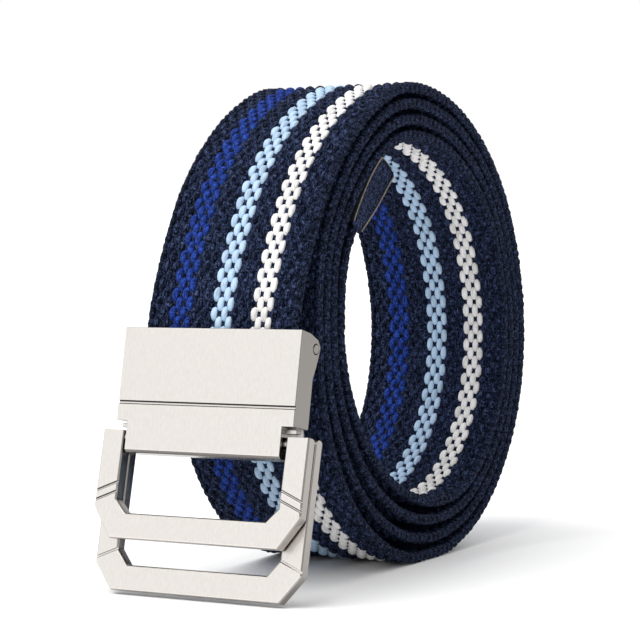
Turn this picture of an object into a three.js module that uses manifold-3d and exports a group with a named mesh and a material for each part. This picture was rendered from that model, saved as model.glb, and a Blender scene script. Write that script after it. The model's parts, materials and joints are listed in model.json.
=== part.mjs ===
// A woven nylon belt, rolled up and standing on the rim of its roll, with a clip and a double ring at its outer end.
// Millimetres. X runs along the axis of the roll, -Y is the front, where the clip hangs, +Z is up and z = 0 is the floor.
import * as THREE from "three";
import { mergeVertices } from "three/addons/utils/BufferGeometryUtils.js";
import Module from "manifold-3d";

const manifold = await Module();
manifold.setup();

// ---- driving dimensions ----
const RUNNING_GAP = 0.3; // between pieces that touch or turn on each other

const WEB = { width: 38, thickness: 2.6, pressed: 2.0, inClip: 17.5 };
const ROLL = {
  radius: 54, // the table's reaches are shares of this
  centreHeight: 53.3, // a little under the radius, so the roll stands on a flattened foot
  seam: 97.4, // degrees from the back, where the table's first row lies
  windingGap: 0.35, // least room between two windings
  slack: 1.7, // most extra room between two windings
  turns: 3.966, // from the seam inwards to the free end
  step: 5, // degrees between two sections
};
const FREE_END = { standOff: 1.2, easeTurns: 0.21 }; // the free end leaves the winding outside it
const WRAP = { length: 23, wall: 1.0, clearance: 0.15 };

const CLIP = {
  width: 44.5,
  height: 20.1,
  wall: 2.2, // front wall
  cheek: 1.2,
  floor: 0.8, // closes the clip's underside
  tilt: 12.3, // degrees, the lower end forward
  depth: 5.9, // of the cheeks along the lever
  earDepth: 7.8,
};
const SCORE = { fromTop: 15.8, width: 0.75, depth: 0.3 };
const NECK = { width: 39, height: 6.8, chamfer: 0.7, depth: 7.0 };
const SHOULDER = { width: 44, front: 1.9, depth: 2, thickness: 0.9, slit: 0.4 };
const LEVER = { thickness: 1.2, pinFromTop: 3.2, pinDepth: 6.1, bossRadius: 1.3 };
const LEVER_PIN = { radius: 0.65, headRadius: 1.0, headLength: 0.55, proud: 0.1, clearance: 0.15 };

const RING = {
  halfWidth: 25.9,
  halfClear: 20.45,
  thickness: 2.7,
  pinRadius: 0.9,
  lean: 2.3, // degrees more than the clip
  bevel: 0.3,
  halfBarOuter: 21.2, // where the outer corner's slope meets the bar
  halfBarInner: 17.6,
  scoreWidth: 0.5,
  scoreDepth: 0.3,
  scoreRise: 2.2, // how much a score climbs across the arm
};
const PIN_FROM_TOP = 23.5;
// Distances down from the pin. face: the front face's depth behind the clip's front; squareFront keeps the arm's front corner.
const FRONT_RING = { face: 0.6, outerCorner: 15.25, barOuter: 21.8, innerCorner: 13.4, barInner: 16.3, scores: [10.8, 12.8], squareFront: true };
const REAR_RING = { face: 3.56, outerCorner: 26.9, barOuter: 32.6, innerCorner: 23.7, barInner: 27.1, scores: [24.9], squareFront: false };
const pinDepthOf = (spec) => spec.face + RING.thickness / 2;
const PIN_ROOM = RING.pinRadius + RUNNING_GAP;

// The roll's outline, one row a section, going from the seam over the back, under the foot and up the front.
// turn: share of a turn from the seam; reach: outer surface of the first winding, a share of ROLL.radius,
// before the roll closes in by one winding a turn; slack: share of ROLL.slack between two windings.
const OUTLINE = [
  { turn: 0.0, reach: 1.028, slack: 0.38 },
  { turn: 0.069, reach: 1.017, slack: 0.32 },
  { turn: 0.125, reach: 1.002, slack: 0.15 },
  { turn: 0.178, reach: 0.991, slack: 0.03 },
  { turn: 0.228, reach: 0.985, slack: 0.0 },
  { turn: 0.289, reach: 0.999, slack: 0.0 },
  { turn: 0.333, reach: 1.016, slack: 0.0 },
  { turn: 0.381, reach: 1.028, slack: 0.0 },
  { turn: 0.439, reach: 1.039, slack: 0.15 },
  { turn: 0.486, reach: 1.038, slack: 0.5 },
  { turn: 0.519, reach: 1.036, slack: 0.79 },
  { turn: 0.556, reach: 1.027, slack: 1.0 },
  { turn: 0.608, reach: 0.995, slack: 1.0 },
  { turn: 0.642, reach: 0.965, slack: 0.85 },
  { turn: 0.672, reach: 0.938, slack: 0.68 },
  { turn: 0.717, reach: 0.898, slack: 0.32 },
  { turn: 0.764, reach: 0.872, slack: 0.03 },
  { turn: 0.803, reach: 0.883, slack: 0.0 },
  { turn: 0.844, reach: 0.918, slack: 0.0 },
  { turn: 0.878, reach: 0.931, slack: 0.0 },
  { turn: 0.911, reach: 0.95, slack: 0.09 },
  { turn: 0.958, reach: 0.994, slack: 0.26 },
];
// The outermost winding from the seam forward to the clip, where it leaves the roll.
const LEAD = [
  { turn: -0.2228, reach: 1.011 },
  { turn: -0.197, reach: 0.98 },
  { turn: -0.156, reach: 0.956 },
  { turn: -0.122, reach: 0.961 },
  { turn: -0.089, reach: 0.971 },
  { turn: -0.042, reach: 0.997 },
  { turn: 0.0, reach: 1.028 },
];
// The cheek's outline seen from the side: back and down are shares of the ear's depth and the clip's height.
const CHEEK = [
  { back: 0.0, down: 0.0 },
  { back: 0.43, down: 0.01 },
  { back: 0.86, down: 0.06 },
  { back: 1.0, down: 0.125 },
  { back: 0.97, down: 0.21 },
  { back: 0.87, down: 0.35 },
  { back: CLIP.depth / CLIP.earDepth, down: 0.47 },
  { back: CLIP.depth / CLIP.earDepth, down: 1.0 },
  { back: 0.0, down: 1.0 },
];

// ---- helpers ----
const rad = THREE.MathUtils.degToRad;

function toSolid(geometry) {
  const bare = new THREE.BufferGeometry().setAttribute("position", (geometry.index ? geometry.toNonIndexed() : geometry).getAttribute("position"));
  const merged = mergeVertices(bare, 1e-4);
  return new manifold.Manifold(
    new manifold.Mesh({ numProp: 3, vertProperties: merged.attributes.position.array, triVerts: new Uint32Array(merged.index.array) }),
  );
}

function toGeometry(solid) {
  const { vertProperties, triVerts, numProp } = solid.getMesh();
  const position = new Float32Array(triVerts.length * 3);
  triVerts.forEach((v, i) => position.set(vertProperties.subarray(v * numProp, v * numProp + 3), i * 3));
  const geometry = new THREE.BufferGeometry().setAttribute("position", new THREE.BufferAttribute(position, 3));
  geometry.computeVertexNormals();
  return geometry;
}

// A closed outline of {y, z} points, drawn out along X and centred on x = 0.
function alongX(points, width) {
  const shape = new THREE.Shape(points.map(({ y, z }) => new THREE.Vector2(y, z)));
  const toWorld = new THREE.Matrix4().makeBasis(new THREE.Vector3(0, 1, 0), new THREE.Vector3(0, 0, 1), new THREE.Vector3(1, 0, 0));
  return new THREE.ExtrudeGeometry(shape, { depth: width, bevelEnabled: false, steps: 1 }).translate(0, 0, -width / 2).applyMatrix4(toWorld);
}

// A box between two corners.
function box(x0, x1, y0, y1, z0, z1) {
  return toSolid(new THREE.BoxGeometry(x1 - x0, y1 - y0, z1 - z0).translate((x0 + x1) / 2, (y0 + y1) / 2, (z0 + z1) / 2));
}

// A round bar along X through (y, z).
function rod(radius, x0, x1, y, z, sides = 24) {
  return toSolid(new THREE.CylinderGeometry(radius, radius, x1 - x0, sides).rotateZ(-Math.PI / 2).translate((x0 + x1) / 2, y, z));
}

function mesh(name, geometry, material) {
  const made = new THREE.Mesh(geometry, material);
  made.name = name;
  return made;
}

// A smooth curve through a table's rows, by its column, at a turn. With a period the rows repeat.
function along(rows, column, turn, period = 0) {
  const at = period ? ((turn % period) + period) % period : turn;
  const row = (i) => {
    const n = rows.length;
    if (!period) return rows[Math.min(Math.max(i, 0), n - 1)];
    const r = rows[((i % n) + n) % n];
    return { ...r, turn: r.turn + period * Math.floor(i / n) };
  };
  let i = rows.findLastIndex((r) => r.turn <= at);
  if (!period) i = Math.min(Math.max(i, 0), rows.length - 2);
  const [a, b, c, d] = [row(i - 1), row(i), row(i + 1), row(i + 2)];
  const slope = (p, q) => (q.turn > p.turn ? (q[column] - p[column]) / (q.turn - p.turn) : 0);
  const span = c.turn - b.turn;
  const m0 = (a === b ? slope(b, c) : slope(a, c)) * span;
  const m1 = (d === c ? slope(b, c) : slope(b, d)) * span;
  const t = (at - b.turn) / span;
  return (
    b[column] * (2 * t ** 3 - 3 * t ** 2 + 1) + m0 * (t ** 3 - 2 * t ** 2 + t) + c[column] * (3 * t ** 2 - 2 * t ** 3) + m1 * (t ** 3 - t ** 2)
  );
}

// ---- the belt's path ----
const centre = { y: 57, z: ROLL.centreHeight };

function reachOf(turn) {
  if (turn < 0) return ROLL.radius * along(LEAD, "reach", turn);
  const pitch = WEB.thickness + ROLL.windingGap + ROLL.slack * along(OUTLINE, "slack", turn, 1);
  const free = THREE.MathUtils.smoothstep(turn, ROLL.turns - FREE_END.easeTurns, ROLL.turns - FREE_END.easeTurns / 3);
  return ROLL.radius * along(OUTLINE, "reach", turn, 1) - turn * pitch - free * FREE_END.standOff;
}

// The middle of the webbing's thickness at a turn, and the half of its thickness there.
function windingAt(turn) {
  const angle = rad(ROLL.seam - 360 * turn);
  let reach = reachOf(turn);
  // Flat where it stands, with room left for the windings outside this one.
  const outside = Math.max(Math.floor(turn), 0) * (WEB.thickness + ROLL.windingGap);
  if (Math.sin(angle) < 0) reach = Math.min(reach, centre.z / -Math.sin(angle) - outside);
  const middle = reach - WEB.thickness / 2;
  return { y: centre.y + middle * Math.cos(angle), z: centre.z + middle * Math.sin(angle), half: WEB.thickness / 2 };
}

const wrapTurns = (() => {
  const { y, z } = windingAt(ROLL.turns);
  return WRAP.length / (2 * Math.PI * Math.hypot(y - centre.y, z - centre.z));
})();
const leadEnd = windingAt(LEAD[0].turn);
const clipMiddle = CLIP.wall + RUNNING_GAP + WEB.pressed / 2; // the webbing's middle, back from the clip's front
const down = { y: -Math.sin(rad(CLIP.tilt)), z: -Math.cos(rad(CLIP.tilt)) };

// Sections from the end in the clip to the free end.
const path = [];
for (const share of [1, 0.8, 0.6, 0.4, 0.2, 0.06])
  path.push({ y: leadEnd.y + down.y * WEB.inClip * share, z: leadEnd.z + down.z * WEB.inClip * share, half: WEB.pressed / 2 });
const steps = Math.round((360 / ROLL.step) * (ROLL.turns - LEAD[0].turn));
for (let i = 1; i <= steps; i++) {
  const turn = LEAD[0].turn + ((ROLL.turns - LEAD[0].turn) * i) / steps;
  const at = windingAt(turn);
  const fromWrap = (ROLL.turns - turn) / wrapTurns; // 1 where the wrap begins
  at.half = THREE.MathUtils.lerp(WEB.pressed / 2, at.half, THREE.MathUtils.smoothstep(fromWrap, 1.05, 1.35));
  at.inWrap = fromWrap < 1;
  path.push(at);
}
path.forEach((p, i) => {
  const a = path[Math.max(i - 1, 0)],
    b = path[Math.min(i + 1, path.length - 1)],
    run = Math.hypot(b.y - a.y, b.z - a.z);
  p.along = { y: (b.y - a.y) / run, z: (b.z - a.z) / run };
  p.out = { y: -p.along.z, z: p.along.y }; // points away from the roll's centre
});
const offset = (p, by, ahead = 0) => ({ y: p.y + p.out.y * by + p.along.y * ahead, z: p.z + p.out.z * by + p.along.z * ahead });

// ---- webbing and the wrap on its free end ----
function webbing() {
  const outer = path.map((p) => offset(p, p.half)).map(({ y, z }) => ({ y, z: Math.max(z, 0) }));
  const inner = path.map((p) => offset(p, -p.half));
  return alongX([...outer, ...inner.reverse()], WEB.width);
}

// A strip folded over the end: two walls and a round fold.
function tipWrap() {
  const covered = path.filter((p) => p.inWrap);
  const end = covered.at(-1);
  const near = WEB.pressed / 2 + WRAP.clearance,
    far = near + WRAP.wall;
  const fold = (radius) =>
    [...Array(9)].map((_, i) => {
      const turn = Math.PI / 2 - (Math.PI * i) / 8;
      return offset(end, radius * Math.sin(turn), WRAP.clearance + radius * Math.cos(turn) * 0.8);
    });
  return alongX(
    [
      ...covered.map((p) => offset(p, far)),
      ...fold(far),
      ...covered.map((p) => offset(p, -far)).reverse(),
      ...covered.map((p) => offset(p, -near)),
      ...fold(near).reverse(),
      ...covered.map((p) => offset(p, near)).reverse(),
    ],
    WEB.width,
  );
}

// ---- clip: its own frame has the front wall's outer face at y = 0 and its top at z = 0 ----
function clipBody() {
  const inside = CLIP.width / 2 - CLIP.cheek;
  const cheeks = toSolid(alongX(CHEEK.map((r) => ({ y: r.back * CLIP.earDepth, z: -r.down * CLIP.height })), CLIP.width));
  const room = box(-inside, inside, CLIP.wall, CLIP.earDepth + 1, -CLIP.height + CLIP.floor, 1);
  const neckBottom = -CLIP.height - NECK.height;
  const neck = toSolid(
    alongX(
      [
        { y: 0, z: -CLIP.height + 0.5 },
        { y: 0, z: neckBottom + NECK.chamfer },
        { y: NECK.chamfer, z: neckBottom },
        { y: NECK.depth - NECK.chamfer, z: neckBottom },
        { y: NECK.depth, z: neckBottom + NECK.chamfer },
        { y: NECK.depth, z: neckBottom + NECK.height - 1.6 },
        { y: NECK.depth - 1.6, z: -CLIP.height + 0.02 },
        { y: CLIP.wall, z: -CLIP.height + 0.5 },
      ].reverse(),
      NECK.width,
    ),
  );
  const shoulderTop = -CLIP.height - SHOULDER.slit;
  const shoulder = box(-SHOULDER.width / 2, SHOULDER.width / 2, SHOULDER.front, SHOULDER.front + SHOULDER.depth, shoulderTop - SHOULDER.thickness, shoulderTop);
  const slot = box(-NECK.width, NECK.width, pinDepthOf(FRONT_RING) - PIN_ROOM, pinDepthOf(REAR_RING) + PIN_ROOM, -PIN_FROM_TOP - PIN_ROOM, -PIN_FROM_TOP + PIN_ROOM);
  const score = box(-CLIP.width, CLIP.width, -1, SCORE.depth, -SCORE.fromTop - SCORE.width, -SCORE.fromTop);
  const hole = LEVER_PIN.radius + LEVER_PIN.clearance,
    sink = LEVER_PIN.headRadius + LEVER_PIN.clearance;
  const holes = [rod(hole, -CLIP.width, CLIP.width, LEVER.pinDepth, -LEVER.pinFromTop)];
  for (const side of [-1, 1]) {
    const x = (side * CLIP.width) / 2,
      inner = x - side * (LEVER_PIN.headLength - LEVER_PIN.proud + LEVER_PIN.clearance);
    holes.push(rod(sink, Math.min(inner, x + side), Math.max(inner, x + side), LEVER.pinDepth, -LEVER.pinFromTop));
  }
  return toGeometry(
    manifold.Manifold.union([cheeks.subtract(room), neck, shoulder]).subtract(manifold.Manifold.union([slot, score, ...holes])),
  );
}

// The lever that holds the webbing down, between the cheeks, with a boss round its pin.
function clampLever() {
  const half = CLIP.width / 2 - CLIP.cheek - RUNNING_GAP,
    front = clipMiddle + WEB.pressed / 2 + RUNNING_GAP,
    foot = -CLIP.height + CLIP.floor + RUNNING_GAP;
  const plate = box(-half, half, front, front + LEVER.thickness, foot, -LEVER.pinFromTop);
  const boss = rod(LEVER.bossRadius, -half, half, LEVER.pinDepth, -LEVER.pinFromTop);
  const bore = rod(LEVER_PIN.radius + LEVER_PIN.clearance, -CLIP.width, CLIP.width, LEVER.pinDepth, -LEVER.pinFromTop);
  return toGeometry(plate.add(boss).subtract(bore));
}

function leverPin() {
  const half = CLIP.width / 2 + LEVER_PIN.proud,
    neck = half - LEVER_PIN.headLength;
  const profile = [
    [0, -half],
    [LEVER_PIN.headRadius, -half],
    [LEVER_PIN.headRadius, -neck],
    [LEVER_PIN.radius, -neck],
    [LEVER_PIN.radius, neck],
    [LEVER_PIN.headRadius, neck],
    [LEVER_PIN.headRadius, half],
    [0, half],
  ].map(([r, x]) => new THREE.Vector2(r, x));
  return new THREE.LatheGeometry(profile, 24).rotateZ(-Math.PI / 2).translate(0, LEVER.pinDepth, -LEVER.pinFromTop);
}

// A ring in its own frame: its pin lies along X through the origin and its arms hang down.
function ring(spec) {
  const { halfWidth: w, halfClear: c, halfBarOuter: bo, halfBarInner: bi, thickness, bevel } = RING;
  const eye = thickness / 2;
  const right = [
    [w, eye + bevel],
    [w, -spec.outerCorner],
    [bo, -spec.barOuter],
  ];
  const rightInner = [
    [bi, -spec.barInner],
    [c, -spec.innerCorner],
    [c, eye + bevel],
  ];
  const mirror = (points) => points.map(([x, z]) => [-x, z]).reverse();
  const outline = [...right, ...mirror(right), ...mirror(rightInner), ...rightInner].map(([x, z]) => new THREE.Vector2(x, z));
  const frame = new THREE.ExtrudeGeometry(new THREE.Shape(outline), {
    depth: thickness - 2 * bevel,
    bevelEnabled: true,
    bevelThickness: bevel,
    bevelSize: bevel,
    bevelOffset: -bevel,
    bevelSegments: 1,
  })
    .rotateX(Math.PI / 2)
    .translate(0, eye - bevel, 0);
  // The arms end round above the pin, so that they turn clear of each other and of the clip.
  let kept = rod(eye, -w - 1, w + 1, 0, 0, 32);
  if (spec.squareFront) kept = kept.add(box(-w - 1, w + 1, -eye - 1, 0, -1, eye));
  const ends = box(-w - 1, w + 1, -thickness, thickness, 0, thickness).subtract(kept);
  const slope = Math.atan2(RING.scoreRise, w - c);
  const scores = spec.scores.flatMap((fall) =>
    [-1, 1].map((side) =>
      toSolid(
        new THREE.BoxGeometry((w - c + 2) / Math.cos(slope), 2, RING.scoreWidth)
          .rotateY(side * slope)
          .translate((side * (w + c)) / 2, RING.scoreDepth - eye - 1, -fall),
      ),
    ),
  );
  const pin = rod(RING.pinRadius, -c - 1, c + 1, 0, 0);
  return toGeometry(toSolid(frame).subtract(manifold.Manifold.union([ends, ...scores])).add(pin));
}

// ---- materials and assembly ----
const navy = new THREE.MeshStandardMaterial({ color: 0x1b2745, roughness: 0.95, metalness: 0 });
const leather = new THREE.MeshStandardMaterial({ color: 0x23252b, roughness: 0.6, metalness: 0 });
const metal = new THREE.MeshStandardMaterial({ color: 0xc9c5c0, roughness: 0.35, metalness: 1 });
const steel = new THREE.MeshStandardMaterial({ color: 0x9a9a9c, roughness: 0.4, metalness: 1 });

const belt = new THREE.Group();
belt.add(mesh("webbing", webbing(), navy), mesh("tip_wrap", tipWrap(), leather));

// The clip stands where the webbing's lead ends, its middle on the webbing's middle.
const clip = new THREE.Group();
clip.rotation.x = -rad(CLIP.tilt);
clip.position.set(0, leadEnd.y, leadEnd.z).sub(new THREE.Vector3(0, clipMiddle, 0).applyEuler(clip.rotation));
clip.add(
  mesh("clip_body", clipBody(), metal),
  mesh("clamp_lever", clampLever(), steel),
  mesh("lever_pin", leverPin(), steel),
);
for (const [name, spec] of [
  ["front_ring", FRONT_RING],
  ["rear_ring", REAR_RING],
]) {
  const hung = new THREE.Group();
  hung.position.set(0, pinDepthOf(spec), -PIN_FROM_TOP);
  hung.rotation.x = -rad(RING.lean);
  hung.add(mesh(name, ring(spec), metal));
  clip.add(hung);
}
belt.add(clip);

// Centre the whole front to back on the origin; it already stands on z = 0.
belt.updateMatrixWorld(true);
const bounds = new THREE.Box3().setFromObject(belt, true);
belt.position.y = -(bounds.min.y + bounds.max.y) / 2;

export default belt;
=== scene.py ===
"""The looks of a rolled woven belt with a clip and a double ring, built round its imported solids.

Metres. X runs along the axis of the roll, -Y is the front and +Z is up.
"""

import json
import math

import bmesh
import bpy
import numpy as np
from bpy.props import FloatProperty, FloatVectorProperty, IntProperty, PointerProperty
from mathutils import Matrix, Vector

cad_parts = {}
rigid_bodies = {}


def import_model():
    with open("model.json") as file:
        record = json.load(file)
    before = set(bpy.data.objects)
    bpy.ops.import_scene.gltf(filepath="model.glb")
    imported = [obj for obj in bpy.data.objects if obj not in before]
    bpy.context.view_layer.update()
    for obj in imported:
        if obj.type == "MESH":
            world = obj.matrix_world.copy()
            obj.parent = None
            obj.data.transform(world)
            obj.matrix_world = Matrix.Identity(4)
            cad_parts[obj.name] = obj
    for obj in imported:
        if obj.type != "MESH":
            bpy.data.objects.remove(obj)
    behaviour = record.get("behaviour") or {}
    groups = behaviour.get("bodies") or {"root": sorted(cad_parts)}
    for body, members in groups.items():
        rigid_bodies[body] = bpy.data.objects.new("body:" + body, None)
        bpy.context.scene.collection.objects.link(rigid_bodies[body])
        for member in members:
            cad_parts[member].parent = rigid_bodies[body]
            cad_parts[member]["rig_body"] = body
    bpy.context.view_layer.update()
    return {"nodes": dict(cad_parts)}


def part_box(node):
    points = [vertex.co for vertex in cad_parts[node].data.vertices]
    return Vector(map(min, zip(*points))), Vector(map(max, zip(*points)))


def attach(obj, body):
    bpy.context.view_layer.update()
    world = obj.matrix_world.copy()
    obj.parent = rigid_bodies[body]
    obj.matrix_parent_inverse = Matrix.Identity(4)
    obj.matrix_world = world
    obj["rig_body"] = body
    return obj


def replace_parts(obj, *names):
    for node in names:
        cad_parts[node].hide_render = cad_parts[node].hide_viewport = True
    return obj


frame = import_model()

bl_info = {
    "name": "Rolled woven belt",
    "version": (1, 0, 0),
    "blender": (4, 5, 0),
    "location": "View3D > Sidebar > Belt",
    "description": "Dresses the packed solids of a rolled woven belt",
    "category": "Object",
}

MM = 0.001
SEED = 11
BELT = "belt"  # the body that the webbing and the clip ride on
STRIPES = {"royal": -8, "light_blue": 0, "white": 8}  # columns of yarn from the middle stripe
# Turns of the roll over which the webbing's outside, and before its end its inside, can be seen.
OUTSIDE_TURNS, INSIDE_TURNS = 1.27, 1.1
# Half the height of a float, as a share of the webbing's half thickness.
FLOAT_RISE = 0.46
# How deep a float's ends dive, in the same shares, in the outermost column, the next and all others.
DIVES = (0.12, 0.2, 0.5)
# Length of the outermost columns' floats, as a share of the others'.
EDGE_FLOAT = 0.62
# Parts of a score's width painted dark as shade, along its upper edge and its lower one.
UPPER_PAINTED_SHADE, LOWER_PAINTED_SHADE = 0.4, 0.2
FOLD_STATIONS = 24  # along each side of the leather fold
TUFT_ROWS = 6  # across the webbing's end in the fold


def linear(code):
    """An sRGB hex colour as linear red, green and blue."""
    shares = (int(code[i : i + 2], 16) / 255 for i in (1, 3, 5))
    return tuple(v / 12.92 if v <= 0.04045 else ((v + 0.055) / 1.055) ** 2.4 for v in shares)


# Settings


def length(name, description, default_mm):
    return FloatProperty(
        name=name,
        description=description,
        default=default_mm * MM,
        unit="LENGTH",
        precision=5,
    )


def colour(name, description, code):
    return FloatVectorProperty(
        name=name,
        description=description,
        default=linear(code),
        subtype="COLOR",
        min=0.0,
        max=1.0,
    )


class WeaveSettings(bpy.types.PropertyGroup):
    left_columns: IntProperty(
        name="Left columns",
        description="Warp yarns between the middle stripe's middle and the left edge",
        default=14,
        min=4,
    )
    right_columns: IntProperty(
        name="Right columns",
        description="Warp yarns between the middle stripe's middle and the right edge",
        default=15,
        min=4,
    )
    stripe_columns: IntProperty(
        name="Stripe columns",
        description="Warp yarns in a stripe",
        default=4,
        min=2,
    )
    edge_room: length("Edge room", "From the outermost yarn's middle to the webbing's edge", 0.95)
    repeat: length("Repeat", "Length of one over and under along the webbing", 4.27)
    phase: length("Phase", "From the clip's end to the middle of the first float", 3.94)
    float_length: length("Float length", "How long a yarn shows on one face", 3.6)
    float_width: length("Float width", "Width of a yarn where it bulges most", 1.6)
    bed: length("Bed", "Thickness of the bed that the yarns sink into", 1.1)
    navy: colour("Navy", "Ground yarn", "#0a142a")
    navy_dark: colour("Navy dark", "Ground yarn between its crimps", "#04070e")
    navy_pale: colour("Navy pale", "Ground yarn where a filament catches light", "#455277")
    royal: colour("Royal", "Stripe on the left", "#223a84")
    light_blue: colour("Light blue", "Middle stripe", "#bad5ef")
    white: colour("White", "Stripe on the right", "#f5f3f2")


class MetalSettings(bpy.types.PropertyGroup):
    brushed: colour("Brushed", "Nickel on the brushed front faces", "#ebe6e1")
    # Painted shade: this darker nickel stands for the dimmer light on the clip's sides and back.
    cast: colour("Cast", "Nickel on the clip's sides and back, plated as cast", "#84807c")
    # Painted shade: this darker nickel stands for the dimmer light on the rings' sides and backs.
    ring_side_shade: colour("Ring sides", "Nickel on the rings' sides and backs", "#a09b97")
    # Painted shade: this dark colour stands for the shade in grooves, seams and corners.
    groove: colour("Groove", "Grime that settles in grooves and seams", "#1c1917")
    steel: colour("Steel", "Plain steel of the lever", "#a4a5a8")
    edge: length("Edge", "Rounding of the cast pieces' edges", 0.12)


class WrapSettings(bpy.types.PropertyGroup):
    leather: colour("Leather", "Dark finished faces of the wrap", "#15171c")
    cut: colour("Cut edge", "Raw edge of the wrap's leather", "#84786a")
    wall: length("Wall", "Thickness of the leather", 0.45)
    lean: length("Lean", "How far the fold stands off the webbing's own curve", 2.2)
    slant: length("Slant", "How much shorter the fold's outer side is", 2.5)
    recess: length("Recess", "How far the webbing's end lies inside the leather's cut edge", 0.3)
    raw_edge: length("Raw edge", "How much of the wall's thickness shows as raw leather", 0.35)


class StageSettings(bpy.types.PropertyGroup):
    floor: colour("Floor", "Pale paper floor", "#ffffff")
    sky: FloatProperty(name="Sky", description="Strength of the even light", default=1.0, min=0.0)
    shade: FloatProperty(
        name="Shade",
        description="Strength of the light from the right, as a share of the sky",
        default=0.75,
        min=0.0,
        max=1.0,
    )
    key: FloatProperty(name="Key", description="Strength of the wide lamp above", default=1.6, min=0.0)


# Helpers


def add(tree, kind, settings=None, inputs=None):
    """Adds a node with its own settings, and with inputs that are values or other nodes' outputs."""
    node = tree.nodes.new("ShaderNode" + kind)
    for key, value in (settings or {}).items():
        setattr(node, key, value)
    for key, value in (inputs or {}).items():
        socket = find(node.inputs, key)
        if isinstance(value, bpy.types.NodeSocket):
            tree.links.new(value, socket)
        else:
            socket.default_value = value
    return node


def find(sockets, key):
    """A socket by its identifier, name or number."""
    for socket in sockets:
        if socket.identifier == key:
            return socket
    return sockets[key]


def material(name):
    """A new material and its cleared node tree."""
    made = bpy.data.materials.new(name)
    made.use_nodes = True
    made.node_tree.nodes.clear()
    return made, made.node_tree


def finish_material(tree, shader):
    add(tree, "OutputMaterial", None, {"Surface": shader.outputs["BSDF"]})


def rgba(rgb):
    return (*rgb, 1.0)


def scaled(rgb, share):
    return tuple(min(1.0, v * share) for v in rgb)


def ramp(tree, height, stops):
    """A colour ramp through (position, colour) stops."""
    node = add(tree, "ValToRGB", None, {"Fac": height})
    elements = node.color_ramp.elements
    while len(elements) < len(stops):
        elements.new(0.5)
    for element, (position, rgb) in zip(elements, stops):
        element.position = position
        element.color = rgba(rgb)
    return node.outputs["Color"]


def piece(name, points, faces, made, uv=None, tone=None):
    """A mesh object from arrays of points and faces, riding on the belt."""
    mesh = bpy.data.meshes.new(name)
    mesh.from_pydata(points.tolist(), [], faces)
    mesh.polygons.foreach_set("use_smooth", np.ones(len(mesh.polygons), dtype=bool))
    if uv is not None:
        corner = np.empty(len(mesh.loops), dtype=np.int32)
        mesh.loops.foreach_get("vertex_index", corner)
        mesh.uv_layers.new(name="yarn").uv.foreach_set("vector", uv[corner].astype(np.float32).ravel())
    if tone is not None:
        mesh.attributes.new("tone", "FLOAT", "POINT").data.foreach_set("value", tone.astype(np.float32))
    mesh.update()
    mesh.materials.append(made)
    made_object = bpy.data.objects.new(name, mesh)
    bpy.context.scene.collection.objects.link(made_object)
    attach(made_object, BELT)
    return made_object


# The webbing's path


def side_outline(node):
    """The corners of a solid's right-hand side face, in order round it, as rows of (y, z)."""
    form = bmesh.new()
    form.from_mesh(node.data)
    bmesh.ops.remove_doubles(form, verts=form.verts, dist=0.001 * MM)
    side = max(v.co.x for v in form.verts) - 0.01 * MM
    on_side = {v for v in form.verts if v.co.x > side}
    follows = {}
    for edge in form.edges:
        flat = sum(all(v in on_side for v in face.verts) for face in edge.link_faces)
        if flat == 1 and all(v in on_side for v in edge.verts):
            for a, b in (edge.verts, reversed(edge.verts)):
                follows.setdefault(a, []).append(b)
    start = next(iter(follows))
    loop = [start, follows[start][0]]
    while True:
        ahead = [v for v in follows[loop[-1]] if v is not loop[-2]][0]
        if ahead is start:
            break
        loop.append(ahead)
    outline = np.array([(v.co.y, v.co.z) for v in loop])
    form.free()
    return outline


def eased(values, knots, at):
    """A smooth curve through values at knots, read at other places."""
    slopes = np.gradient(values, knots, axis=0)
    i = np.clip(np.searchsorted(knots, at, side="right") - 1, 0, len(knots) - 2)
    span = knots[i + 1] - knots[i]
    t = (at - knots[i]) / span
    shape = (-1,) + (1,) * (values.ndim - 1)
    t, span = t.reshape(shape), span.reshape(shape)
    return (
        values[i] * (2 * t**3 - 3 * t**2 + 1)
        + slopes[i] * span * (t**3 - 2 * t**2 + t)
        + values[i + 1] * (3 * t**2 - 2 * t**3)
        + slopes[i + 1] * span * (t**3 - t**2)
    )


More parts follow.
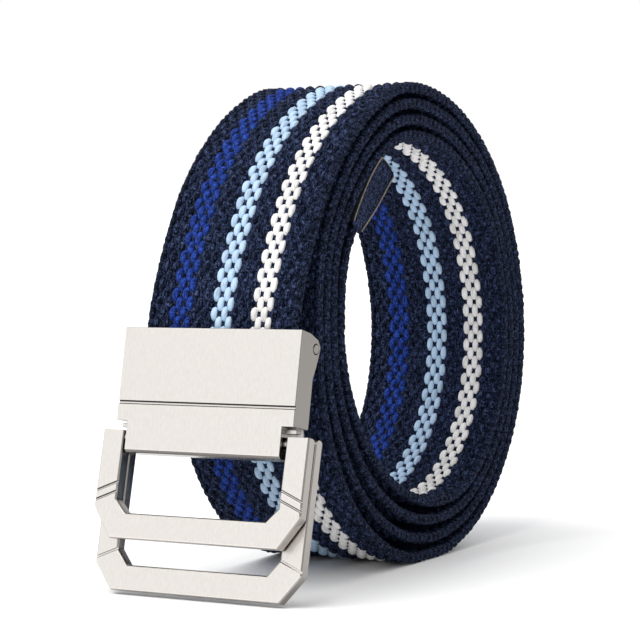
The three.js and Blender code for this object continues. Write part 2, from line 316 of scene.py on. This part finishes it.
class Band:
    """The webbing's middle line from the clip to the free end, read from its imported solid."""

    STEP = 0.25 * MM

    def __init__(self, node):
        outline = side_outline(node)
        ahead = np.roll(outline, -1, axis=0) - outline
        behind = np.roll(ahead, 1, axis=0)
        lengths = np.linalg.norm(ahead, axis=1) * np.linalg.norm(behind, axis=1)
        cosine = (ahead * behind).sum(1) / lengths
        corners = np.flatnonzero(cosine < 0.5)
        if len(corners) != 4:
            raise RuntimeError(f"the webbing's side has {len(corners)} square corners, not 4")
        # Two of the four sides between corners are the band's ends; start after one of them.
        if corners[1] - corners[0] == 1:
            corners = np.roll(corners, -1)
        first, second, third, _ = corners
        outline = np.roll(outline, -first, axis=0)
        count = (second - first) % len(outline) + 1
        one, other = outline[:count], outline[count : 2 * count][::-1]
        if one[0, 0] > one[-1, 0]:
            one, other = one[::-1], other[::-1]
        middle = (one + other) / 2
        knots = np.concatenate([[0], np.cumsum(np.linalg.norm(np.diff(middle, axis=0), axis=1))])
        half = np.linalg.norm(one - other, axis=1) / 2
        self.length = knots[-1]
        self.s = np.linspace(0, self.length, int(self.length / self.STEP))
        self.place = eased(middle, knots, self.s)
        self.half = np.interp(self.s, knots, half)
        ahead = np.gradient(self.place, self.s, axis=0)
        ahead /= np.linalg.norm(ahead, axis=1)[:, None]
        self.out = np.stack([-ahead[:, 1], ahead[:, 0]], 1)
        self.ahead = ahead
        self.centre = (outline.min(0) + outline.max(0)) / 2
        halfway = len(self.s) // 2
        if np.dot(self.out[halfway], self.place[halfway] - self.centre) < 0:
            self.out = -self.out
        turned = np.unwrap(np.arctan2(*(self.place - self.centre).T[::-1]))
        self.turn = np.abs(turned - turned[0]) / (2 * math.pi)

    def read(self, table, s):
        """A table's values at lengths s along the band."""
        if table.ndim == 1:
            return np.interp(s, self.s, table)
        return np.stack([np.interp(s, self.s, column) for column in table.T], -1)

    def put(self, s, x, height):
        """Points at lengths s, sideways places x and heights above the middle.

        Heights are shares of the webbing's half thickness.
        """
        place = self.read(self.place, s)
        out = self.read(self.out, s)
        flat = place + out * (height * self.read(self.half, s))[..., None]
        # Only the outermost winding reaches the surface that the belt stands on, where it lies flat.
        return np.stack([x, flat[..., 0], np.maximum(flat[..., 1], 0.02 * MM)], -1)

    def at_turn(self, turn):
        return float(np.interp(turn, self.turn, self.s))


# Weave


def bead_form(rings, sides):
    """One float of yarn of unit size: its points as rows of along, across and up, and its faces."""
    stations = np.sin(np.linspace(-1, 1, rings + 2)[1:-1] * math.pi / 2)
    angles = np.arange(sides) * 2 * math.pi / sides
    along = np.repeat(stations, sides)
    girth = (1 - np.abs(along) ** 3) ** 0.5
    across = np.tile(np.cos(angles), rings) * girth
    up = np.tile(np.sin(angles), rings) * girth
    tips = [-1, 1]
    middle = [0, 0]
    points = np.stack([np.append(along, tips), np.append(across, middle), np.append(up, middle)], 1)
    low, high = rings * sides, rings * sides + 1
    faces = []
    for k in range(sides):
        after = (k + 1) % sides
        faces.append((low, after, k))
        faces.append((high, low - sides + k, low - sides + after))
        for r in range(0, low - sides, sides):
            faces.append((r + k, r + after, r + after + sides, r + k + sides))
    return points, faces


def copies(faces, size, flipped):
    """The faces of a form of so many points, once for each entry of flipped.

    A true entry turns its copy's faces over.
    """
    made = []
    for i, flip in enumerate(flipped):
        made += [tuple(v + i * size for v in (reversed(face) if flip else face)) for face in faces]
    return made


def lay_floats(name, band, form, beads, size, jitter, made, rng):
    """Floats of yarn on the band, as one piece.

    Each row of beads is a length along, a sideways place, a side (1 outside, -1 inside) and a dive.
    """
    points, faces = form
    beads = np.array(beads)
    along, across, up = points.T
    s, x, side, dive = beads.T[:, :, None]
    long, wide, high = size

    def vary(amount):
        return amount * rng.uniform(-1, 1, (len(beads), 1))

    def rough(amount):
        return amount * rng.uniform(-1, 1, (len(beads), len(points)))

    s = s + along * long / 2 * (1 + vary(jitter)) + vary(jitter) * long / 4 + rough(jitter) * wide / 3
    x = x + across * wide / 2 * (1 + vary(jitter)) + rough(jitter) * wide / 3
    # The middle of a float lies high and its ends dive into the bed.
    height = 1 - high + up * high * (1 + vary(jitter)) - dive * np.abs(along) ** 2.5 + rough(jitter) * 0.4
    placed = band.put(np.clip(s, 0, band.length), x, height * side)
    uv = np.stack([(x + 0.6 * wide * up) / MM, s / MM], -1) + rng.uniform(0, 40, (len(beads), 1, 2))
    tone = np.repeat(rng.uniform(0, 1, len(beads)), len(points))
    laid = copies(faces, len(points), beads[:, 2] < 0)
    return piece(name, placed.reshape(-1, 3), laid, made, uv.reshape(-1, 2), tone)


def crimped_yarn(name, dark, middle, pale):
    """Bulked nylon yarn: its crimped filaments scatter light, so it is matt, with pale and dark flecks.

    Real filaments are 0.03 mm thick, too fine to show, so they are drawn as tufts of about 0.4 mm.
    """
    made, tree = material(name)
    place = add(tree, "TexCoord").outputs["UV"]
    tuft = add(
        tree,
        "TexNoise",
        None,
        {"Vector": place, "Scale": 2.5, "Detail": 4.0, "Roughness": 0.65, "Distortion": 1.2},
    )
    strand = add(tree, "Mapping", None, {"Vector": place, "Scale": (5.0, 0.9, 1.0)})
    strand = strand.outputs["Vector"]
    fibre = add(
        tree,
        "TexNoise",
        None,
        {"Vector": strand, "Scale": 1.0, "Detail": 2.0, "Roughness": 0.6, "Distortion": 0.6},
    )
    height = add(
        tree,
        "Math",
        {"operation": "ADD"},
        {0: tuft.outputs["Fac"], 1: fibre.outputs["Fac"]},
    )
    halved = add(tree, "Math", {"operation": "MULTIPLY"}, {0: height.outputs[0], 1: 0.5})
    tinted = ramp(tree, halved.outputs[0], [(0.43, dark), (0.5, middle), (0.58, pale)])
    bump = add(
        tree,
        "Bump",
        None,
        {"Height": halved.outputs[0], "Strength": 1.0, "Distance": 0.35 * MM},
    )
    shader = add(
        tree,
        "BsdfPrincipled",
        None,
        {
            "Base Color": tinted,
            "Roughness": 0.7,
            "IOR": 1.53,
            "Specular IOR Level": 0.06,
            "Normal": bump.outputs["Normal"],
        },
    )
    finish_material(tree, shader)
    return made


def smooth_yarn(name, base):
    """Flat-laid nylon filament yarn: fine lines run along each float, with a soft sheen across them."""
    made, tree = material(name)
    place = add(tree, "TexCoord").outputs["UV"]
    # Filament bundles drawn 0.2 mm apart, coarser than real so that they show.
    strand = add(tree, "Mapping", None, {"Vector": place, "Scale": (5.0, 0.35, 1.0)})
    fibre = add(
        tree,
        "TexNoise",
        None,
        {"Vector": strand.outputs["Vector"], "Scale": 1.0, "Detail": 3.0, "Roughness": 0.6},
    )
    tone = add(tree, "Attribute", {"attribute_name": "tone"})
    blend = add(
        tree,
        "Math",
        {"operation": "MULTIPLY_ADD"},
        {0: tone.outputs["Fac"], 1: 0.2, 2: fibre.outputs["Fac"]},
    )
    tinted = ramp(tree, blend.outputs[0], [(0.38, scaled(base, 0.66)), (0.62, base)])
    bump = add(
        tree,
        "Bump",
        None,
        {"Height": fibre.outputs["Fac"], "Strength": 1.0, "Distance": 0.12 * MM},
    )
    shader = add(
        tree,
        "BsdfPrincipled",
        None,
        {
            "Base Color": tinted,
            "Roughness": 0.62,
            "IOR": 1.53,
            "Specular IOR Level": 0.35,
            "Normal": bump.outputs["Normal"],
        },
    )
    finish_material(tree, shader)
    return made


# Metal


def plated_metal(name, front, side_shade_colour, groove, roughness):
    """Plated metal, brushed down its front faces, with painted shade: a darker colour on its other faces
    and a dark one in its seams and corners.
    """
    made, tree = material(name)
    texture = add(tree, "TexCoord")
    place = texture.outputs["Object"]
    # Brush lines about 0.3 mm apart and several millimetres long, coarser than real so that they show.
    stretch = add(tree, "Mapping", None, {"Vector": place, "Scale": (3500.0, 3500.0, 150.0)})
    lines = add(
        tree,
        "TexNoise",
        None,
        {"Vector": stretch.outputs["Vector"], "Scale": 1.0, "Detail": 2.0, "Roughness": 0.5},
    )
    brushed = ramp(tree, lines.outputs["Fac"], [(0.3, scaled(front, 0.92)), (0.7, front)])
    # Painted shade: faces that don't look to the front take the darker colour, for the dimmer light they
    # get.
    facing = add(tree, "SeparateXYZ", None, {"Vector": texture.outputs["Normal"]})
    is_shaded_side = add(
        tree,
        "MapRange",
        {"interpolation_type": "SMOOTHSTEP"},
        {"Value": facing.outputs["Y"], "From Min": -0.96, "From Max": -0.86},
    )
    plated = add(
        tree,
        "Mix",
        {"data_type": "RGBA"},
        {"Factor": is_shaded_side.outputs["Result"], "A_Color": brushed, "B_Color": rgba(side_shade_colour)},
    )
    # Painted shade: ambient occlusion mixes in the dark groove colour in grooves, seams and corners, where
    # shade falls.
    open_to_air = add(tree, "AmbientOcclusion", {"samples": 8}, {"Distance": 0.9 * MM})
    painted_shade = add(
        tree,
        "MapRange",
        None,
        {"Value": open_to_air.outputs["AO"], "From Min": 0.75, "From Max": 0.35, "To Max": 0.95},
    )
    gloss = add(
        tree,
        "MapRange",
        None,
        {"Value": is_shaded_side.outputs["Result"], "To Min": roughness, "To Max": roughness - 0.1},
    )
    before_crevice_shade = find(plated.outputs, "Result_Color")
    tinted = add(
        tree,
        "Mix",
        {"data_type": "RGBA"},
        {"Factor": painted_shade.outputs["Result"], "A_Color": before_crevice_shade, "B_Color": rgba(groove)},
    )
    bump = add(
        tree,
        "Bump",
        None,
        {"Height": lines.outputs["Fac"], "Strength": 0.2, "Distance": 0.004 * MM},
    )
    shader = add(
        tree,
        "BsdfPrincipled",
        None,
        {
            "Base Color": find(tinted.outputs, "Result_Color"),
            "Metallic": 1.0,
            "Roughness": gloss.outputs["Result"],
            "Normal": bump.outputs["Normal"],
        },
    )
    finish_material(tree, shader)
    return made


def darken_scores(form):
    """Gives the floor of each shallow front score two lines of painted shade, along its upper and lower
    edges.
    """
    fronts = [face for face in form.faces if face.normal.y < -0.9]
    front = max(fronts, key=lambda face: face.calc_area())
    normal = front.normal.copy()
    level = front.verts[0].co.dot(normal)
    floors = []
    for face in fronts:
        depth = level - face.verts[0].co.dot(normal)
        is_parallel = face.normal.dot(normal) > 0.9999
        if len(face.verts) == 4 and is_parallel and 0.1 * MM < depth < 0.6 * MM:
            floors.append(face)
    for floor in floors:
        along = max(floor.edges, key=lambda edge: edge.calc_length())
        direction = (along.verts[1].co - along.verts[0].co).normalized()
        up = direction.cross(normal)
        if up.z < 0:
            up = -up
        heights = [v.co.dot(up) for v in floor.verts]
        low, high = min(heights), max(heights)
        strips = [floor]
        cuts = (high - UPPER_PAINTED_SHADE * (high - low), low + LOWER_PAINTED_SHADE * (high - low))
        for cut in cuts:
            parts = set(strips)
            edges = {edge for strip in parts for edge in strip.edges}
            corners = {v for strip in parts for v in strip.verts}
            cut_parts = bmesh.ops.bisect_plane(
                form,
                geom=[*parts, *edges, *corners],
                plane_co=up * cut,
                plane_no=up,
                dist=0.001 * MM,
            )
            strips = [part for part in cut_parts["geom"] if isinstance(part, bmesh.types.BMFace)]
        for strip in strips:
            middle = strip.calc_center_median().dot(up)
            # Strips along the edges take the second material, which is painted shade.
            strip.material_index = int(middle > cuts[0] or middle < cuts[1])


def dressed_metal(node_name, made, painted_shade, slot, edge):
    """A packed metal solid's own form with its edges rounded, standing in for the solid."""
    node = frame["nodes"][node_name]
    form = bmesh.new()
    form.from_mesh(node.data)
    bmesh.ops.remove_doubles(form, verts=form.verts, dist=0.001 * MM)
    bmesh.ops.dissolve_limit(form, angle_limit=math.radians(1), verts=form.verts, edges=form.edges)
    for face in form.faces:
        face.material_index = 0
    darken_scores(form)
    mesh = bpy.data.meshes.new(node_name + "_finished")
    form.to_mesh(mesh)
    form.free()
    mesh.materials.append(made)
    mesh.materials.append(painted_shade)
    mesh.polygons.foreach_set("use_smooth", np.ones(len(mesh.polygons), dtype=bool))
    finished = bpy.data.objects.new(node_name + "_finished", mesh)
    bpy.context.scene.collection.objects.link(finished)
    bevel = finished.modifiers.new("edges", "BEVEL")
    bevel.width = edge
    bevel.segments = 2
    bevel.limit_method = "ANGLE"
    bevel.angle_limit = math.radians(28)
    bevel.use_clamp_overlap = False
    weighted = finished.modifiers.new("flat_faces", "WEIGHTED_NORMAL")
    weighted.mode = "FACE_AREA"
    weighted.weight = 100
    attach(finished, node["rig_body"])
    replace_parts(finished, node_name)
    return finished


# Operators


class BELT_OT_weave(bpy.types.Operator):
    """Weaves the webbing from its yarns, on a thin bed"""

    bl_idname = "belt.weave"
    bl_label = "Weave the webbing"

    def execute(self, context):
        weave = context.scene.belt_weave
        band = Band(frame["nodes"]["webbing"])
        rng = np.random.default_rng(SEED)
        royal = tuple(weave.royal)
        royals = (scaled(royal, 0.35), royal, scaled(royal, 2.2))
        navies = [tuple(c) for c in (weave.navy_dark, weave.navy, weave.navy_pale)]
        yarns = {
            "navy": crimped_yarn("crimped_navy_nylon_yarn", *navies),
            # Painted shade: the selvedge's yarns are drawn darker, for the shade between the windings.
            "edge": crimped_yarn("navy_selvedge_yarn_with_painted_shade", *(scaled(c, 0.65) for c in navies)),
            "royal": crimped_yarn("crimped_royal_nylon_yarn", *royals),
            "light_blue": smooth_yarn("smooth_light_blue_nylon_yarn", tuple(weave.light_blue)),
            "white": smooth_yarn("smooth_white_nylon_yarn", tuple(weave.white)),
        }
        self.bed(band, weave, yarns["navy"])
        half_width = (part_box("webbing")[1].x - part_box("webbing")[0].x) / 2
        reach = half_width - weave.edge_room
        stripe_of = {}
        for name, columns_aside in STRIPES.items():
            first = columns_aside - weave.stripe_columns // 2
            for column in range(first, first + weave.stripe_columns):
                stripe_of[column] = name
        # Seen are the outside of the first turn, the inside of the last, and every winding's edges.
        faces = {
            1: (0, band.at_turn(OUTSIDE_TURNS)),
            -1: (band.at_turn(band.turn[-1] - INSIDE_TURNS), band.length),
        }
        lots = {}
        for column in range(-weave.left_columns, weave.right_columns):
            on_this_side = weave.left_columns if column < 0 else weave.right_columns
            x = (column + 0.5) * reach / (on_this_side - 0.5)
            from_edge = min(column + weave.left_columns, weave.right_columns - 1 - column)
            dive = DIVES[min(from_edge, 2)]
            for side, (first, last) in faces.items():
                shift = 0.5 * (column % 2) + (0 if side > 0 else 0.5)
                # The outermost yarns turn at every pick of the weft, so their floats are half as long.
                step = weave.repeat / (1 if from_edge else 2)
                start = (weave.phase + shift * weave.repeat) % step
                for s in np.arange(start, band.length - 0.4 * weave.repeat, step):
                    if from_edge == 0:
                        key = ("edge", "along_the_edges")
                    elif first < s < last:
                        name = stripe_of.get(column, "navy")
                        key = (name, "outside" if side > 0 else "inside")
                    elif from_edge < 3:
                        key = ("edge", "between_windings")
                    else:
                        continue
                    lots.setdefault(key, []).append((s, x, side, dive))
        size = (weave.float_length, weave.float_width, FLOAT_RISE)
        short = (EDGE_FLOAT * weave.float_length, weave.float_width, FLOAT_RISE)
        fine, plain = bead_form(6, 8), bead_form(4, 6)
        for (name, where), beads in lots.items():
            form = fine if where in ("outside", "inside") else plain
            form_size = short if where == "along_the_edges" else size
            jitter = 0.1 if name in ("navy", "edge") else 0.05
            title = f"{name}_floats_{where}"
            lay_floats(title, band, form, beads, form_size, jitter, yarns[name], rng)
        self.selvedge(band, weave, half_width, yarns["edge"], rng)
        return {"FINISHED"}

    def bed(self, band, weave, made):
        """The thin bed under the yarns, where they dive and the weft runs."""
        stations = np.append(np.arange(0, band.length, weave.repeat / 2), band.length)
        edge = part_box("webbing")[1].x - 0.6 * MM
        thin = weave.bed / 2 / band.half.max()
        x = np.tile([-edge, edge, edge, -edge], len(stations))
        height = np.tile([-thin, -thin, thin, thin], len(stations))
        points = band.put(np.repeat(stations, 4), x, height)
        last = len(points) - 4
        faces = [(3, 2, 1, 0), (last, last + 1, last + 2, last + 3)]
        for i in range(0, last, 4):
            for k in range(4):
                after = (k + 1) % 4
                faces.append((i + k, i + after, i + after + 4, i + k + 4))
        uv = np.stack([x / MM, np.repeat(stations, 4) / MM], -1)
        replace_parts(piece("webbing_bed", points, faces, made, uv), "webbing")

    def selvedge(self, band, weave, half_width, made, rng):
        """The weft's turns round the outermost yarns, on both edges."""
        points, faces = bead_form(3, 6)
        s = np.arange(0.25 * weave.repeat, band.length - 0.5 * MM, weave.repeat / 2)
        count = 2 * len(s)
        side = np.repeat([-1, 1], len(s))[:, None]
        jitter = rng.uniform(-0.15, 0.15, (count, 1)) * MM
        s = np.tile(s, 2)[:, None] + 0.3 * weave.repeat * points[:, 1] + jitter
        bulge = 0.8 * MM
        x = half_width - bulge + bulge * points[:, 2] * rng.uniform(0.85, 1, (count, 1))
        height = points[:, 0] * rng.uniform(0.75, 0.9, (count, 1))
        placed = band.put(np.clip(s, 0, band.length), side * x, height)
        uv = np.stack([(height + x / MM), s / MM], -1) + rng.uniform(0, 40, (count, 1, 2))
        tone = np.repeat(rng.uniform(0, 1, count), len(points))
        laid = copies(faces, len(points), side[:, 0] > 0)
        piece("selvedge_turns", placed.reshape(-1, 3), laid, made, uv.reshape(-1, 2), tone)


class BELT_OT_wrap(bpy.types.Operator):
    """Folds a leather strip over the webbing's free end"""

    bl_idname = "belt.wrap"
    bl_label = "Wrap the free end"

    def execute(self, context):
        wrap = context.scene.belt_wrap
        band = Band(frame["nodes"]["webbing"])
        node = frame["nodes"]["tip_wrap"]
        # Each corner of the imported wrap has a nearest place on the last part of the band's middle line.
        corners = np.array([v.co[1:] for v in node.data.vertices])
        tail = band.s > band.length - 40 * MM
        apart = np.linalg.norm(corners[:, None] - band.place[None, tail], axis=2)
        reach = band.s[tail][apart.argmin(1)]
        start = reach.min()
        flank = reach < band.length - 2 * MM
        outer = apart.min(1)[flank].max()
        half_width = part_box("tip_wrap")[1].x
        inner = outer - wrap.wall
        heights = (outer, outer - wrap.raw_edge, inner)
        layers = [self.outline(band, start, height, wrap.lean, wrap.slant) for height in heights]
        count = len(layers[0])
        sides = (-half_width, half_width)
        points = [(x, y, z) for x in sides for layer in layers for y, z in layer]
        faces, raw = [], []

        def patch(a, b, flip, is_raw=False):
            """Faces between two rows of points, given by the first point of each."""
            for i in range(count - 1):
                face = (a + i, a + i + 1, b + i + 1, b + i)
                faces.append(face[::-1] if flip else face)
                raw.append(is_raw)

        far = 3 * count
        patch(0, far, False)
        patch(2 * count, far + 2 * count, True)
        for offset, flip in ((0, True), (far, False)):
            patch(offset, offset + count, flip, True)
            patch(offset + count, offset + 2 * count, flip)
        for i, flip in ((0, True), (count - 1, False)):
            face = [i, i + count, i + 2 * count, i + 2 * count + far, i + count + far, i + far]
            faces.append(face[::-1] if flip else face)
            raw.append(False)
        made = piece("folded_leather_strip", np.array(points), faces, self.leather(wrap))
        made.data.materials.append(self.cut_edge(wrap))
        for polygon, is_raw in zip(made.data.polygons, raw):
            polygon.material_index = int(is_raw)
            polygon.use_smooth = False
        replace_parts(made, "tip_wrap")
        self.filling(layers[2], half_width - wrap.recess)
        return {"FINISHED"}

    def filling(self, outline, half_width):
        """The webbing's end: its loosened yarns bulk up, fill the fold and show as tufts at both edges."""
        count = len(outline)
        points = np.array([(x, y, z) for x in (-half_width, half_width) for y, z in outline])
        rows = range(count // 2)
        faces = [(i, i + 1, count - 2 - i, count - 1 - i) for i in rows if i + 1 < count - 2 - i]
        faces = [face[::-1] for face in faces] + [tuple(v + count for v in face) for face in faces]
        for i in range(count):
            after = (i + 1) % count
            faces.append((i, i + count, after + count, after))
        # The end takes the selvedge yarn, with its painted shade.
        yarn = bpy.data.materials["navy_selvedge_yarn_with_painted_shade"]
        piece("bulked_webbing_end", points, faces, yarn, points[:, 1:] / MM)
        rng = np.random.default_rng(SEED)
        form, faces = bead_form(3, 6)
        above, below = outline[:FOLD_STATIONS], outline[::-1][:FOLD_STATIONS]
        part = ((np.arange(TUFT_ROWS) + 0.5) / TUFT_ROWS)[:, None]
        middles = (below[:, None] + (above - below)[:, None] * part).reshape(-1, 2)
        jitter = rng.uniform(-0.3, 0.3, (2 * len(middles), 1, 2)) * MM
        middles = np.tile(middles, (2, 1))[:, None] + jitter
        spread = rng.uniform(0.45, 0.8, (len(middles), 1, 2)) * MM
        side = np.repeat([-1, 1], len(middles) // 2)[:, None]
        x = side * (half_width + (0.35 * form[:, 2] - 0.1) * MM)
        placed = np.concatenate([x[..., None], middles + form[:, :2] * spread], -1)
        uv = placed[..., 1:] / MM + rng.uniform(0, 40, (len(middles), 1, 2))
        laid = copies(faces, len(form), side[:, 0] > 0)
        yarn = bpy.data.materials["crimped_navy_nylon_yarn"]
        piece("webbing_end_tufts", placed.reshape(-1, 3), laid, yarn, uv.reshape(-1, 2))

    def outline(self, band, start, height, lean, slant):
        """A line at one height over the band's outside, round its end and back along its inside.

        The stiff fold is straighter than the coil: it stands off outwards at its end, inwards halfway.
        """
        part = np.linspace(0, 1, FOLD_STATIONS)[:, None]
        s = start + (band.length - start) * part[:, 0]
        place, out = band.read(band.place, s), band.read(band.out, s)
        below = place - out * (height + 0.6 * lean * np.sin(math.pi * part))
        s = start + (band.length - slant - start) * part[:, 0]
        place, out = band.read(band.place, s), band.read(band.out, s)
        above = place + out * (height + lean * part)
        middle, up = (above[-1] + below[-1]) / 2, (above[-1] - below[-1]) / 2
        ahead = 0.25 * band.ahead[-1] * np.linalg.norm(up)
        turn = np.linspace(math.pi / 2, -math.pi / 2, 11)[1:-1, None]
        fold = middle + up * np.sin(turn) + ahead * np.cos(turn)
        return np.concatenate([above, fold, below[::-1]])

    def leather(self, wrap):
        """Thin split leather with a dark coat, finely grained."""
        made, tree = material("coated_split_leather")
        place = add(tree, "TexCoord").outputs["Object"]
        grain = add(tree, "TexVoronoi", None, {"Vector": place, "Scale": 1400.0})
        bump = add(
            tree,
            "Bump",
            None,
            {"Height": grain.outputs["Distance"], "Strength": 0.5, "Distance": 0.06 * MM},
        )
        shader = add(
            tree,
            "BsdfPrincipled",
            None,
            {"Base Color": rgba(wrap.leather), "Roughness": 0.6, "Normal": bump.outputs["Normal"]},
        )
        finish_material(tree, shader)
        return made

    def cut_edge(self, wrap):
        """The raw cut edge of the leather: matt, fibrous and paler."""
        made, tree = material("raw_cut_leather_edge")
        place = add(tree, "TexCoord").outputs["Object"]
        fibre = add(tree, "TexNoise", None, {"Vector": place, "Scale": 2500.0, "Detail": 3.0})
        stops = [(0.35, scaled(wrap.cut, 0.35)), (0.6, tuple(wrap.cut))]
        tinted = ramp(tree, fibre.outputs["Fac"], stops)
        shader = add(tree, "BsdfPrincipled", None, {"Base Color": tinted, "Roughness": 0.9})
        finish_material(tree, shader)
        return made


class BELT_OT_metal(bpy.types.Operator):
    """Finishes the clip, its lever and the two rings"""

    bl_idname = "belt.metal"
    bl_label = "Finish the metal"

    def execute(self, context):
        metal = context.scene.belt_metal
        brushed, cast, groove = tuple(metal.brushed), tuple(metal.cast), tuple(metal.groove)
        sides, plain = tuple(metal.ring_side_shade), tuple(metal.steel)
        # Both nickels carry painted shade: darker sides and dark seams.
        ring = plated_metal("ring_nickel_with_painted_shade", brushed, sides, groove, 0.32)
        nickel = plated_metal("brushed_nickel_with_painted_shade", brushed, cast, groove, 0.32)
        steel = plated_metal("plain_rolled_steel_with_painted_shade", plain, plain, groove, 0.35)
        # Painted shade: a dark matt colour laid along the scores' edges.
        painted_shade, tree = material("painted_shade_in_scores")
        shader = add(tree, "BsdfPrincipled", None, {"Base Color": rgba(groove), "Roughness": 0.7})
        finish_material(tree, shader)
        for name, made, slot in (
            ("clip_body", nickel, "clip_metal"),
            ("front_ring", ring, "ring_metal"),
            ("rear_ring", ring, "ring_metal"),
            ("clamp_lever", steel, "lever_steel"),
            ("lever_pin", nickel, "lever_steel"),
        ):
            dressed_metal(name, made, painted_shade, slot, metal.edge)
        return {"FINISHED"}


class BELT_OT_stage(bpy.types.Operator):
    """Sets the pale floor, the soft light and the camera"""

    bl_idname = "belt.stage"
    bl_label = "Set the stage"

    def execute(self, context):
        stage = context.scene.belt_stage
        scene = context.scene
        made, tree = material("pale_matt_paper")
        shader = add(tree, "BsdfPrincipled", None, {"Base Color": rgba(stage.floor), "Roughness": 0.9})
        finish_material(tree, shader)
        mesh = bpy.data.meshes.new("floor")
        reach = 20.0  # metres, so its edges stay out of the picture
        corners = [(-reach, -reach, 0), (reach, -reach, 0), (reach, reach, 0), (-reach, reach, 0)]
        mesh.from_pydata(corners, [], [(0, 1, 2, 3)])
        mesh.materials.append(made)
        floor = bpy.data.objects.new("floor", mesh)
        scene.collection.objects.link(floor)
        scene.world = self.sky(stage)
        self.key(scene, stage)
        self.camera(scene)
        scene.view_settings.view_transform = "Standard"
        return {"FINISHED"}

    def sky(self, stage):
        """A white studio, dimmer towards the right, where its far wall isn't lit."""
        world = bpy.data.worlds.new("white_studio")
        world.use_nodes = True
        tree = world.node_tree
        tree.nodes.clear()
        towards = add(tree, "TexCoord").outputs["Generated"]
        split = add(tree, "SeparateXYZ", None, {"Vector": towards})
        level = add(
            tree,
            "MapRange",
            {"interpolation_type": "SMOOTHSTEP"},
            {
                "Value": split.outputs["X"],
                "From Min": -0.1,
                "From Max": 0.6,
                "To Min": 1.0,
                "To Max": stage.shade,
            },
        )
        level = level.outputs["Result"]
        strength = add(tree, "Math", {"operation": "MULTIPLY"}, {0: level, 1: stage.sky})
        white = (1.0, 1.0, 1.0, 1.0)
        back = add(tree, "Background", None, {"Color": white, "Strength": strength.outputs[0]})
        add(tree, "OutputWorld", None, {"Surface": back.outputs[0]})
        return world

    def key(self, scene, stage):
        """One very wide lamp high at the front left, so shadows stay soft."""
        light = bpy.data.lights.new("key", "SUN")
        light.angle = math.radians(45)
        light.energy = stage.key
        lamp = bpy.data.objects.new("key", light)
        azimuth, elevation = math.radians(-30), math.radians(62)
        towards = Vector((math.sin(azimuth), -math.cos(azimuth), math.tan(elevation)))
        lamp.rotation_euler = towards.to_track_quat("Z", "Y").to_euler()
        scene.collection.objects.link(lamp)

    def camera(self, scene):
        """The camera at the photograph's place, looking a little down on the belt."""
        place_mm = (272.65, -452.69, 83.52)
        azimuth, looking_down, roll = (math.radians(v) for v in (31.424, 3.062, -1.152))
        focal_px, image_px, sensor_mm = 2319.0, 640, 36.0
        data = bpy.data.cameras.new("camera")
        data.sensor_width = sensor_mm
        data.lens = focal_px / image_px * sensor_mm
        data.clip_start = 0.01
        camera = bpy.data.objects.new("camera", data)
        turn = Matrix.Rotation(azimuth, 3, "Z") @ Matrix.Rotation(math.pi / 2 - looking_down, 3, "X")
        camera.rotation_euler = (turn @ Matrix.Rotation(roll, 3, "Z")).to_euler()
        camera.location = Vector(place_mm) * MM
        scene.collection.objects.link(camera)
        scene.camera = camera


class BELT_PT_panel(bpy.types.Panel):
    """Lists the steps that dress the belt"""

    bl_label = "Belt"
    bl_idname = "BELT_PT_panel"
    bl_space_type = "VIEW_3D"
    bl_region_type = "UI"
    bl_category = "Belt"

    def draw(self, context):
        for operator in OPERATORS:
            self.layout.operator(operator.bl_idname)


SETTINGS = {
    "belt_weave": WeaveSettings,
    "belt_metal": MetalSettings,
    "belt_wrap": WrapSettings,
    "belt_stage": StageSettings,
}
OPERATORS = (BELT_OT_weave, BELT_OT_wrap, BELT_OT_metal, BELT_OT_stage)


def register():
    for name, settings in SETTINGS.items():
        bpy.utils.register_class(settings)
        setattr(bpy.types.Scene, name, PointerProperty(type=settings))
    for operator in OPERATORS:
        bpy.utils.register_class(operator)
    bpy.utils.register_class(BELT_PT_panel)


def unregister():
    bpy.utils.unregister_class(BELT_PT_panel)
    for operator in reversed(OPERATORS):
        bpy.utils.unregister_class(operator)
    for name, settings in SETTINGS.items():
        delattr(bpy.types.Scene, name)
        bpy.utils.unregister_class(settings)


def main():
    register()
    bpy.ops.belt.weave()
    bpy.ops.belt.wrap()
    bpy.ops.belt.metal()
    bpy.ops.belt.stage()


if __name__ == "__main__":
    main()
